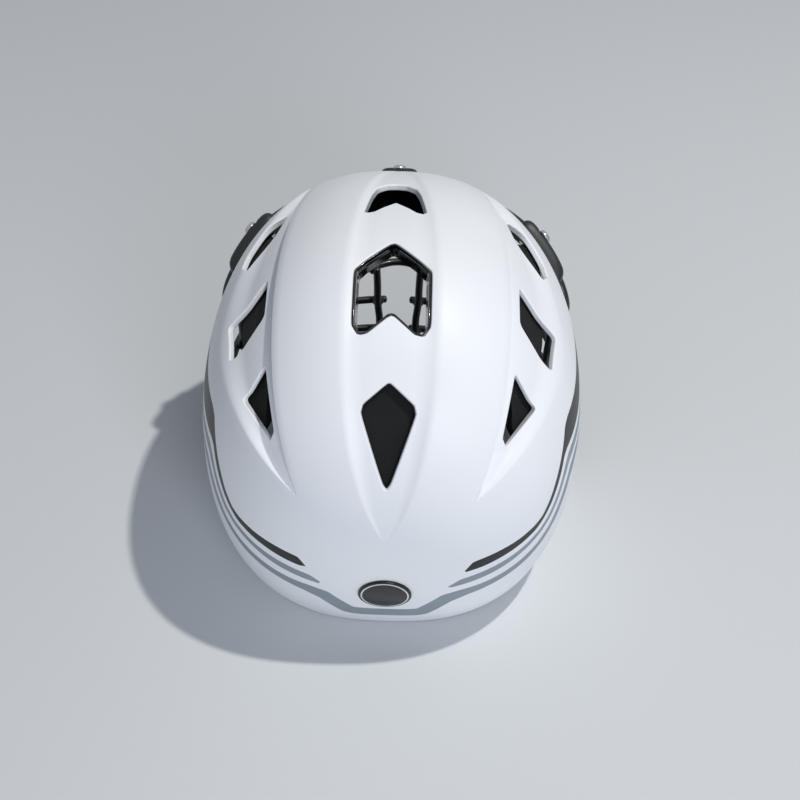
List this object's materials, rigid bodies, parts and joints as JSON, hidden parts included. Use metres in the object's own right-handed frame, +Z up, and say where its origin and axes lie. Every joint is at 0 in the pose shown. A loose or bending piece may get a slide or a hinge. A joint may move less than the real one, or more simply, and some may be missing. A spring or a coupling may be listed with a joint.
{
  "type": "fielding helmet with wire face mask",
  "caption": "White vented helmet whose clips hold a black wire mask in front of the wearer's face, with foam padding inside and a chin strap that swings on side studs.",
  "frame": {"origin": "middle of the helmet's bounding box, on the plane of the shell's rim, which it stands on", "axes": "the face looks along -Y, +Z is up, and +X is the wearer's left"},
  "size_m": [0.2302, 0.288, 0.2149],
  "materials": {
    "shell_white": "glossy",
    "bezel_black": "glossy",
    "badge_black": "glossy",
    "foam_black": "matt closed-cell foam",
    "wire_black": "satin powder coat",
    "clip_black": "fine moulded grain",
    "screw_steel": "bright zinc",
    "webbing_black": "woven"
  },
  "bodies": {
    "helmet": {"shell": "shell_white", "vent_bezel": "bezel_black", "rear_badge": "badge_black", "brow_pad": "foam_black", "crown_pad_left": "foam_black", "crown_pad_right": "foam_black", "side_pad_left": "foam_black", "side_pad_right": "foam_black", "rear_pad_left": "foam_black", "rear_pad_right": "foam_black", "rear_centre_pad": "foam_black", "nape_pad": "foam_black", "jaw_pad_left": "foam_black", "jaw_pad_right": "foam_black", "cage_perimeter_wire": "wire_black", "cage_brow_wire": "wire_black", "cage_nose_bar": "wire_black", "cage_mouth_bar_left": "wire_black", "cage_mouth_bar_right": "wire_black", "cage_chin_bar_left": "wire_black", "cage_chin_bar_right": "wire_black", "cage_centre_bar_left": "wire_black", "cage_centre_bar_right": "wire_black", "forehead_clip": "clip_black", "temple_clip_left": "clip_black", "temple_clip_right": "clip_black", "jaw_clip_left": "clip_black", "jaw_clip_right": "clip_black", "clip_screws": "screw_steel", "tee_nuts": "screw_steel", "strap_studs": "screw_steel"},
    "chin_strap": {"strap_snaps": "clip_black", "strap_webbing_left": "webbing_black", "strap_webbing_right": "webbing_black", "strap_slides": "clip_black", "chin_cup": "foam_black"}
  },
  "joints": [
    {"name": "chin_strap_swing", "type": "hinge", "parent": "helmet", "child": "chin_strap", "pos_m": [0, -0.0147, 0.02], "axis": [1, 0, 0], "range_deg": [-45, 20]}
  ]
}
